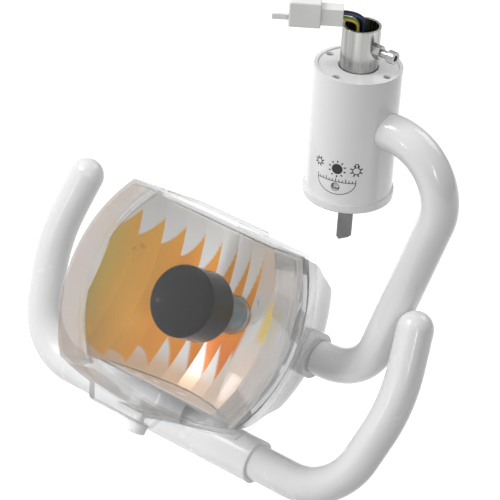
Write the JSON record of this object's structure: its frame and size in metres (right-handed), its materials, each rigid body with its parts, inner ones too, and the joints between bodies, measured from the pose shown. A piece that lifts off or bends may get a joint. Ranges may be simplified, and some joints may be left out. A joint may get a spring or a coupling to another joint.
{
  "type": "dental operating light",
  "caption": "Dental operating light: swivelling switch hub, bent tube arm and a tilting halogen head with clear cover and U handle.",
  "frame": {"origin": "centre of the mouth of the mounting stub", "axes": "+Z along the stub, up out of its mouth; +X from the hub along the arm; the light beam at rest points towards -Y and upwards"},
  "size_m": [0.3272, 0.1846, 0.3358],
  "materials": {
    "steel": "brushed",
    "screw_steel": "satin",
    "washer_plastic": "matte",
    "white_paint": "gloss",
    "white_plastic": "gloss",
    "nylon": "satin",
    "black_plastic": "satin",
    "blue_plastic": "satin",
    "brass": "satin",
    "grey_plastic": "satin",
    "circuit_board": "satin",
    "cable_jacket": "matte",
    "wire_blue": "satin",
    "wire_brown": "satin",
    "wire_yellow": "satin",
    "wire_earth": "satin",
    "dichroic": "mirror",
    "ceramic": "matte",
    "lamp_glass": "gloss",
    "clear_cover": "gloss"
  },
  "bodies": {
    "mount": {"mount_stub": "steel", "clamp_screw": "screw_steel", "clamp_nut": "screw_steel", "swivel_washer": "washer_plastic", "wire_blue": "wire_blue", "wire_brown": "wire_brown", "wire_yellow": "wire_yellow", "wire_earth": "wire_earth", "connector_body": "nylon", "connector_rear": "nylon", "connector_latch": "nylon", "connector_pins": "screw_steel"},
    "hub": {"hub_shell": "white_paint", "top_plate": "white_paint", "plate_screws": "screw_steel", "swivel_bush": "washer_plastic", "bottom_cap": "white_plastic", "switch_body": "black_plastic", "switch_nut": "screw_steel", "switch_tags": "screw_steel", "control_board": "circuit_board", "board_components": "black_plastic", "trimmer_body": "blue_plastic", "arm_tube": "white_paint", "arm_collar": "white_paint", "arm_cable": "cable_jacket", "pivot_shaft": "screw_steel", "friction_washers": "washer_plastic", "spring_washer": "screw_steel", "pivot_nut": "screw_steel"},
    "lever": {"toggle_lever": "grey_plastic"},
    "trimmer": {"trimmer_rotor": "brass"},
    "head": {"rear_housing": "white_plastic", "tilt_bush": "washer_plastic", "lamp_chassis": "screw_steel", "reflector": "dichroic", "reflector_clips": "screw_steel", "bulb_socket": "ceramic", "bulb_pins": "screw_steel", "halogen_bulb": "lamp_glass", "glass_sleeve": "lamp_glass", "bulb_shield": "black_plastic", "clear_cover": "clear_cover", "cover_strap": "screw_steel", "handle_bracket": "white_plastic", "handle_sleeve": "white_plastic", "grip_left": "white_plastic", "grip_right": "white_plastic", "grip_screws": "screw_steel", "lamp_lead": "cable_jacket"},
    "knob": {"cover_knob": "white_plastic"}
  },
  "joints": [
    {"name": "hub_swivel", "type": "hinge", "parent": "mount", "child": "hub", "pos_m": [0, 0, 0], "axis": [0, 0, 1], "range_deg": [-165, 165]},
    {"name": "head_tilt", "type": "hinge", "parent": "hub", "child": "head", "pos_m": [-0.0735, 0, -0.258], "axis": [1, 0, 0], "range_deg": [-1, 125]},
    {"name": "mode_switch", "type": "hinge", "parent": "hub", "child": "lever", "pos_m": [0, 0, -0.11], "axis": [1, 0, 0], "range_deg": [-12, 12]},
    {"name": "trimmer_turn", "type": "hinge", "parent": "hub", "child": "trimmer", "pos_m": [0.00618, -0.01902, -0.1035], "axis": [0.309, -0.9511, 0], "range_deg": [-135, 135]},
    {"name": "cover_screw", "type": "hinge", "parent": "head", "child": "knob", "pos_m": [-0.0735, -0.12161, -0.2861], "axis": [0, 0.5417, 0.8406], "continuous": true}
  ]
}
